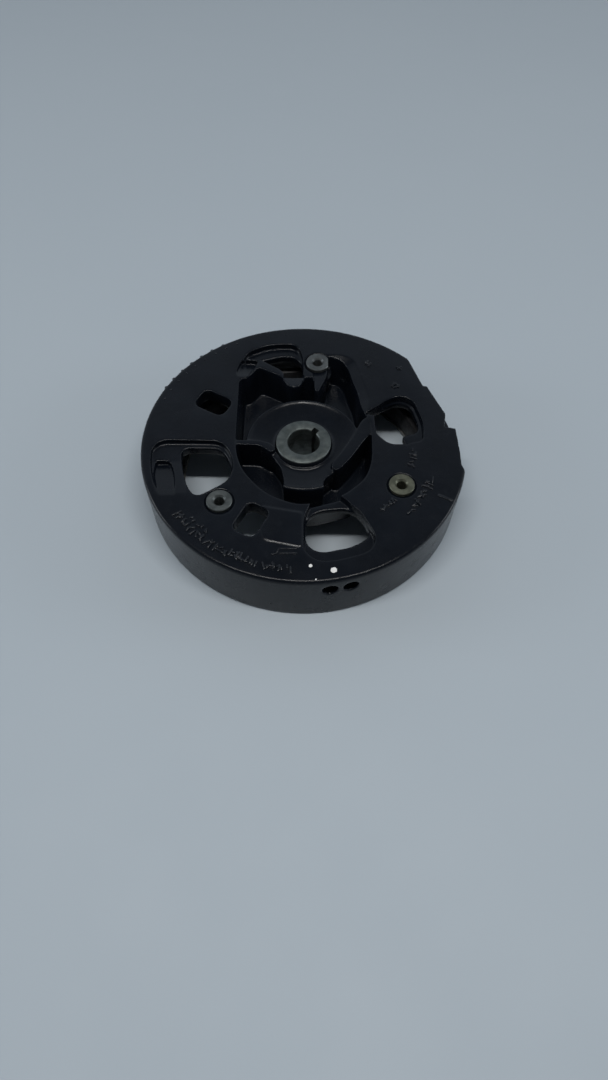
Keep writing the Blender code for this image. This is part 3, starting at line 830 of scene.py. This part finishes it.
def bar(bm, centre, degrees, length, width, low, high):
    """A raised bar with sloping sides, added to bm."""
    rows = []
    for z, inset in ((low, 0.0), (high - 0.2, 0.05), (high, 0.22)):
        outline = box_outline(length - 2 * inset, width - 2 * inset, 0.3 * width)
        rows.append([bm.verts.new((x, y, z)) for x, y in turned_about(outline, centre, degrees)])
    bm.faces.new(rows[0])
    bm.faces.new(rows[-1])
    for lower, upper in zip(rows, rows[1:]):
        for k in range(len(lower)):
            n = (k + 1) % len(lower)
            bm.faces.new((lower[k], lower[n], upper[n], upper[k]))


def mark_row(bm, radius, start, end, height, pitch, dice):
    """A row of plain bars and dashes along an arc, each cell holding one to three of them."""
    step = math.degrees(pitch / radius)
    cells = int(abs(end - start) / step)
    way = 1 if end > start else -1
    low, high = TOP_Z - 0.4, TOP_Z + 0.75
    for k in range(cells):
        angle = start + way * step * (k + 0.5)
        for _ in range(dice.choice((1, 2, 2, 3))):
            out = dice.uniform(-0.25, 0.25) * height
            along = dice.uniform(-0.25, 0.25) * step
            here = polar(radius + out, angle + along)
            turn = angle + dice.choice((0, 0, 90, 35, -40)) + dice.uniform(-10, 10)
            bar(bm, here, turn, height * dice.uniform(0.45, 0.95), 1.0, low, high + dice.uniform(-0.15, 0.1))


def make_marks(surface):
    """Plain raised bars and dots where a foundry puts its marks; they spell nothing."""
    dice = random.Random(7)
    bm = bmesh.new()
    mark_row(bm, 75.2, 216.0, 268.5, 4.6, 2.7, dice)
    mark_row(bm, 71.2, 221.0, 233.0, 2.4, 2.6, dice)
    mark_row(bm, 56.2, -4.0, -19.0, 4.4, 2.5, dice)
    mark_row(bm, 56.2, -38.0, -50.0, 4.2, 2.5, dice)
    mark_row(bm, 66.8, -19.0, -42.0, 4.6, 2.6, dice)
    mark_row(bm, 64.4, 55.5, 60.0, 3.6, 2.4, dice)
    mark_row(bm, 73.2, 44.0, 47.5, 4.4, 2.4, dice)
    mark_row(bm, 62.1, 36.5, 42.0, 4.4, 2.4, dice)
    low, high = TOP_Z - 0.4, TOP_Z + 0.5
    bar(bm, polar(77.0, -26.2), -26.2, 8.0, 1.5, low, high)
    bar(bm, (-7.0, -64.2), 0.0, 9.2, 0.8, low, high)
    bar(bm, (-6.6, -66.8), 0.0, 8.6, 0.8, low, high)
    bar(bm, (-11.4, -65.6), 70.0, 3.4, 0.8, low, high)
    bar(bm, (-13.2, -67.3), 10.0, 2.8, 0.8, low, high)
    for k in range(9):
        bar(bm, polar(78.4, 118.5 + 5.1 * k), 30.0 * k, 1.3, 1.0, low, high - 0.15)
    marks = object_from(bm, "cast_marks")
    marks.data.shade_smooth()
    marks.data.set_sharp_from_angle(angle=math.radians(50))
    finish_piece(marks, surface, "painted_casting")


def make_paint_dabs():
    """Three white dabs of paint on the land, as left by a balancing machine's operator."""
    dice = random.Random(3)
    bm = bmesh.new()
    for x, y, radius in ((14.6, -75.3, 1.5), (3.9, -73.2, 0.85), (6.4, -80.4, 0.4)):
        rows = []
        wobble = [1 + dice.uniform(-0.12, 0.12) for _ in range(18)]
        for z, share in ((TOP_Z - 0.2, 1.0), (TOP_Z + 0.02, 1.0), (TOP_Z + 0.1, 0.86), (TOP_Z + 0.16, 0.5)):
            ring = []
            for k, w in enumerate(wobble):
                dx, dy = polar(radius * share * w, 20 * k)
                ring.append(bm.verts.new((x + dx, y + dy, z)))
            rows.append(ring)
        bm.faces.new(rows[0])
        bm.faces.new(rows[-1])
        for lower, upper in zip(rows, rows[1:]):
            for k in range(len(lower)):
                n = (k + 1) % len(lower)
                bm.faces.new((lower[k], lower[n], upper[n], upper[k]))
    dabs = object_from(bm, "paint_dabs")
    dabs.data.shade_smooth()
    finish_piece(dabs, white_paint(), "painted_casting")


# ---------------------------------------------------------------- hub and inserts


def make_hub():
    chamfer = 0.5
    hub = lathe(
        "hub_piece",
        [
            (BORE_FOOT_RADIUS + chamfer, hub_low.z),
            (BORE_FOOT_RADIUS, hub_low.z + chamfer),
            (BORE_TOP_RADIUS, hub_high.z - chamfer),
            (BORE_TOP_RADIUS + chamfer, hub_high.z),
            (HUB_COLLAR_RADIUS - 0.4, hub_high.z),
            (HUB_COLLAR_RADIUS, hub_high.z - 0.4),
            (HUB_COLLAR_RADIUS, BOSS_ROOT_Z - 0.9),
            (HUB_BODY_RADIUS, BOSS_ROOT_Z - 0.9),
            (HUB_BODY_RADIUS, HUB_ANCHOR_TOP_Z),
            (HUB_ANCHOR_RADIUS, HUB_ANCHOR_TOP_Z),
            (HUB_ANCHOR_RADIUS, HUB_ANCHOR_FOOT_Z),
            (HUB_BODY_RADIUS, HUB_ANCHOR_FOOT_Z),
            (HUB_BODY_RADIUS, hub_low.z + 0.4),
            (HUB_BODY_RADIUS - 0.4, hub_low.z),
        ],
        128,
    )
    half = KEYWAY_WIDTH / 2
    key_slot = [(0, -half), (KEYWAY_REACH, -half), (KEYWAY_REACH, half), (0, half)]
    cut(hub, prism("keyway", turned_about(key_slot, (0, 0), KEYWAY_ANGLE), hub_low.z - 1, hub_high.z + 1))
    settle(hub)
    machined(hub, 0.12, 1)
    # The collar's side wall is coloured dark and not metallic; only its top shows steel.
    painted = (HUB_COLLAR_RADIUS - 0.1, hub_high.z - 0.4)
    dull, bright = (0.085, 0.098, 0.096), (0.16, 0.178, 0.172)
    surface = turned_steel("hub_steel", (0, 0), dull, bright, 0.22, 0.4, painted)
    finish_piece(hub, surface, "hub_steel", "steel_hub")


def thread_profile(low, high, pitch):
    """Heights of a bore's rings, four to a thread pitch."""
    count = int((high - low) / (pitch / 4))
    return [low + (high - low) * k / count for k in range(count + 1)]


def make_insert(number, angle, surface):
    low, high = span(f"threaded_insert_{number}")
    pitch, depth = 1.0, 0.32
    bore_low, bore_high = low.z + 0.7, high.z - 0.9
    heights = thread_profile(bore_low, bore_high, pitch)

    def threaded(radius, z, degrees):
        if radius != INSERT_BORE_RADIUS or not bore_low < z < bore_high:
            return radius
        phase = (z / pitch - degrees / 360) % 1.0
        return radius + depth * (1 - abs(2 * phase - 1))

    insert = lathe(
        f"insert_piece_{number}",
        [(INSERT_BORE_RADIUS + 0.6, low.z)]
        + [(INSERT_BORE_RADIUS, z) for z in heights]
        + [
            (INSERT_BORE_RADIUS + 0.8, high.z),
            (INSERT_COLLAR_RADIUS - 0.3, high.z),
            (INSERT_COLLAR_RADIUS, high.z - 0.3),
            (INSERT_COLLAR_RADIUS, INSERT_SPOT_Z + 0.35),
            (INSERT_BODY_RADIUS, INSERT_SPOT_Z + 0.35),
            (INSERT_BODY_RADIUS, low.z + 0.3),
            (INSERT_BODY_RADIUS - 0.3, low.z),
        ],
        64,
        threaded,
    )
    insert.data.shade_smooth()
    insert.data.set_sharp_from_angle(angle=math.radians(30))
    bake_place(move_to(insert, *polar(INSERT_RADIUS_FROM_AXIS, angle)))
    if number == 1:
        corners = [(LOBE_WALL_X, 40.0), (LOBE_WALL_X + 4, 40.0), (LOBE_WALL_X + 4, 70.0), (LOBE_WALL_X, 70.0)]
        cut(insert, prism("lobe_flat", corners, INSERT_SPOT_Z - 1, ABOVE))
        settle(insert)
    finish_piece(insert, surface, "insert_steel", f"threaded_insert_{number}")


def make_inserts():
    tones = (
        ((0.10, 0.108, 0.11), (0.175, 0.185, 0.185)),
        ((0.085, 0.095, 0.095), (0.155, 0.168, 0.165)),
        ((0.11, 0.115, 0.085), (0.20, 0.205, 0.155)),
    )
    for number, (angle, (dull, bright)) in enumerate(zip(INSERT_ANGLES, tones, strict=True), 1):
        centre = polar(INSERT_RADIUS_FROM_AXIS, angle)
        surface = turned_steel(f"insert_steel_{number}", centre, dull, bright, 0.3, 0.4)
        make_insert(number, angle, surface)


# ---------------------------------------------------------------- magnets and their keepers


def make_back_iron():
    inner = MAGNET_OUTER + 0.3
    ring = lathe(
        "back_iron_piece",
        [(inner, iron_low.z), (inner, iron_high.z), (iron_high.x, iron_high.z), (iron_high.x, iron_low.z)],
        240,
    )
    machined(ring, 0.35)
    surface = iron_surface("back_iron", (0.09, 0.088, 0.086), (0.16, 0.155, 0.15), (0.13, 0.06, 0.03))
    finish_piece(ring, surface, "back_iron", "back_iron_ring")


def make_magnets(ferrite, resin):
    for number in range(MAGNET_COUNT):
        middle = FIRST_MAGNET_ANGLE + number * MAGNET_PITCH
        outline = sector(MAGNET_INNER, MAGNET_OUTER, middle, MAGNET_ARC, 40)
        magnet = prism(f"magnet_piece_{number + 1}", outline, magnet_low.z, magnet_high.z)
        machined(magnet, 0.45)
        finish_piece(magnet, ferrite, "ferrite", f"magnet_{number + 1}")
        between = middle + MAGNET_PITCH / 2
        outline = sector(SPACER_INNER, MAGNET_OUTER, between, MAGNET_PITCH - MAGNET_ARC - 0.6, 10)
        spacer = prism(f"spacer_piece_{number + 1}", outline, spacer_low.z, spacer_high.z)
        hole = cylinder(f"spacer_hole_{number + 1}", SCREW_HOLE_RADIUS, 0, 13, 24)
        cut(spacer, move_to(hole, *polar(SCREW_RADIUS_FROM_AXIS, between)))
        settle(spacer)
        machined(spacer, 0.4)
        finish_piece(spacer, resin, "resin", f"magnet_spacer_{number + 1}")


def make_screw(number, surface):
    """A pan-head screw with a cross recess."""
    screw = lathe(
        f"screw_piece_{number}",
        [
            (0.0, screw_low.z), (0.0, screw_high.z), (1.0, screw_high.z), (1.3, screw_high.z - 0.3),
            (1.3, 0.75), (2.45, 0.75), (2.6, 0.6), (2.55, 0.42), (2.3, 0.26), (1.9, screw_low.z),
        ],
        40,
    )
    for turn in (20, 110):
        outline = turned_about(box_outline(2.6, 0.55, 0.05), (0, 0), turn)
        cut(screw, prism(f"recess_{turn}_{number}", outline, -1, 0.95))
    settle(screw)
    screw.data.shade_smooth()
    screw.data.set_sharp_from_angle(angle=math.radians(32))
    bake_place(move_to(screw, *polar(SCREW_RADIUS_FROM_AXIS, MAGNET_PITCH * number)))
    finish_piece(screw, surface, "screw_steel", f"retainer_screw_{number}")


def make_retainer():
    inner = MAGNET_INNER - 0.4
    ring = lathe(
        "retainer_piece",
        [
            (inner, retainer_low.z), (inner, retainer_high.z),
            (retainer_high.x, retainer_high.z), (retainer_high.x, retainer_low.z),
        ],
        240,
    )
    for number in range(1, MAGNET_COUNT + 1):
        x, y = polar(SCREW_RADIUS_FROM_AXIS, MAGNET_PITCH * number)
        hole = cylinder(f"retainer_hole_{number}", SCREW_HOLE_RADIUS, 0, 4, 24)
        cut(ring, move_to(hole, x, y))
    settle(ring)
    machined(ring, 0.2)
    surface = turned_steel("retainer_steel", (0, 0), (0.25, 0.25, 0.24), (0.37, 0.37, 0.35), 0.5, 0.38)
    finish_piece(ring, surface, "retainer_steel", "magnet_retainer_ring")
    screw_surface = turned_steel("screw_steel", (0, 0), (0.17, 0.17, 0.175), (0.27, 0.27, 0.28), 0.4, 0.34)
    for number in range(1, MAGNET_COUNT + 1):
        make_screw(number, screw_surface)


def make_trigger_ring(ferrite, resin):
    carrier = lathe(
        "carrier_piece",
        [
            (CARRIER_INNER, carrier_low.z), (CARRIER_INNER, carrier_high.z), (CARRIER_OUTER, carrier_high.z),
            (CARRIER_OUTER, carrier_low.z + 0.5), (CARRIER_OUTER - 0.5, carrier_low.z),
        ],
        144,
    )
    pitch = 360 / TRIGGER_COUNT
    for number in range(TRIGGER_COUNT):
        middle = KEYWAY_ANGLE + number * pitch
        seat = sector(TRIGGER_SEAT_INNER, CARRIER_OUTER + 2, middle, TRIGGER_SEAT_ARC, 20)
        cut(carrier, prism(f"trigger_seat_{number + 1}", seat, carrier_low.z + 1.5, 20))
    settle(carrier)
    machined(carrier, 0.25)
    finish_piece(carrier, resin, "resin", "trigger_magnet_carrier")
    for number in range(TRIGGER_COUNT):
        middle = KEYWAY_ANGLE + number * pitch
        outline = sector(TRIGGER_INNER, CARRIER_OUTER - 0.2, middle, TRIGGER_ARC, 24)
        magnet = prism(f"trigger_piece_{number + 1}", outline, trigger_low.z, trigger_high.z)
        machined(magnet, 0.3)
        finish_piece(magnet, ferrite, "ferrite", f"trigger_magnet_{number + 1}")


# ---------------------------------------------------------------- floor, light and camera


def make_floor():
    bm = bmesh.new()
    bmesh.ops.create_grid(bm, x_segments=2, y_segments=2, size=3000.0)
    floor = object_from(bm, "floor")
    floor.data.materials.append(floor_surface())


def area_light(name, place, target, size_x, size_y, power, colour):
    data = bpy.data.lights.new(name, "AREA")
    data.shape = "RECTANGLE"
    data.size = size_x
    data.size_y = size_y
    data.energy = power
    data.color = colour
    lamp = bpy.data.objects.new(name, data)
    bpy.context.scene.collection.objects.link(lamp)
    lamp.location = place
    lamp.rotation_euler = (Vector(target) - Vector(place)).to_track_quat("-Z", "Y").to_euler()


def make_world():
    """A dim room whose far side is a pale wall up to about fifty degrees, darker above it."""
    world = bpy.data.worlds.new("studio")
    world.use_nodes = True
    tree = world.node_tree
    direction = tree.nodes.new("ShaderNodeTexCoord")
    apart = tree.nodes.new("ShaderNodeSeparateXYZ")
    tree.links.new(direction.outputs["Generated"], apart.inputs["Vector"])

    def ranged(source, low, high, to_low, to_high):
        made = tree.nodes.new("ShaderNodeMapRange")
        made.interpolation_type = "SMOOTHSTEP"
        for name, value in (("From Min", low), ("From Max", high), ("To Min", to_low), ("To Max", to_high)):
            made.inputs[name].default_value = value
        tree.links.new(source, made.inputs["Value"])
        return made.outputs["Result"]

    far_side = ranged(apart.outputs["Y"], -0.1, 0.5, 0.0, 1.0)
    below_wall_top = ranged(apart.outputs["Z"], 0.66, 0.90, 1.0, 0.0)
    wall = tree.nodes.new("ShaderNodeMath")
    wall.operation = "MULTIPLY"
    tree.links.new(far_side, wall.inputs[0])
    tree.links.new(below_wall_top, wall.inputs[1])
    background = tree.nodes["Background"]
    background.inputs["Color"].default_value = (0.80, 0.90, 1.0, 1.0)
    tree.links.new(ranged(wall.outputs["Value"], 0.0, 1.0, 0.13, 0.46), background.inputs["Strength"])
    bpy.context.scene.world = world


def make_lights():
    area_light("tube", (0.0, -0.20, 1.40), (0, 0, 0), 1.3, 0.08, 12.0, (1.0, 0.985, 0.96))
    area_light("left_fill", (-1.6, 0.1, 0.5), (0, 0, 0.02), 0.6, 0.5, 4.6, (0.9, 0.95, 1.0))
    area_light("right_fill", (1.6, 0.1, 0.5), (0, 0, 0.02), 0.6, 0.5, 4.6, (0.9, 0.95, 1.0))
    bpy.context.scene.view_settings.view_transform = "Standard"


def make_camera():
    """Looks down at the wheel from in front; distance and height are set by the wheel's radius and top."""
    data = bpy.data.cameras.new("camera")
    data.sensor_fit = "VERTICAL"
    data.sensor_height = 36.0
    data.lens = 26.667
    camera = bpy.data.objects.new("camera", data)
    bpy.context.scene.collection.objects.link(camera)
    rise = math.radians(50.547)
    distance = 4.96085 * RIM_RADIUS * MM
    place = Vector((0.0, -distance * math.cos(rise), distance * math.sin(rise) + (TOP_Z + 0.1) * MM))
    tilt = Euler((math.radians(90.0 - 57.58), 0.0, math.radians(-0.223))).to_matrix().to_4x4()
    camera.matrix_world = Matrix.Translation(place) @ tilt @ Matrix.Rotation(math.radians(0.93), 4, "Z")
    bpy.context.scene.camera = camera


def main():
    paint = paint_surface()
    ferrite = ferrite_surface()
    resin = resin_surface()
    make_casting(paint)
    make_marks(paint)
    make_paint_dabs()
    make_hub()
    make_inserts()
    make_back_iron()
    make_magnets(ferrite, resin)
    make_retainer()
    make_trigger_ring(ferrite, resin)
    make_floor()
    make_world()
    make_lights()
    make_camera()


main()
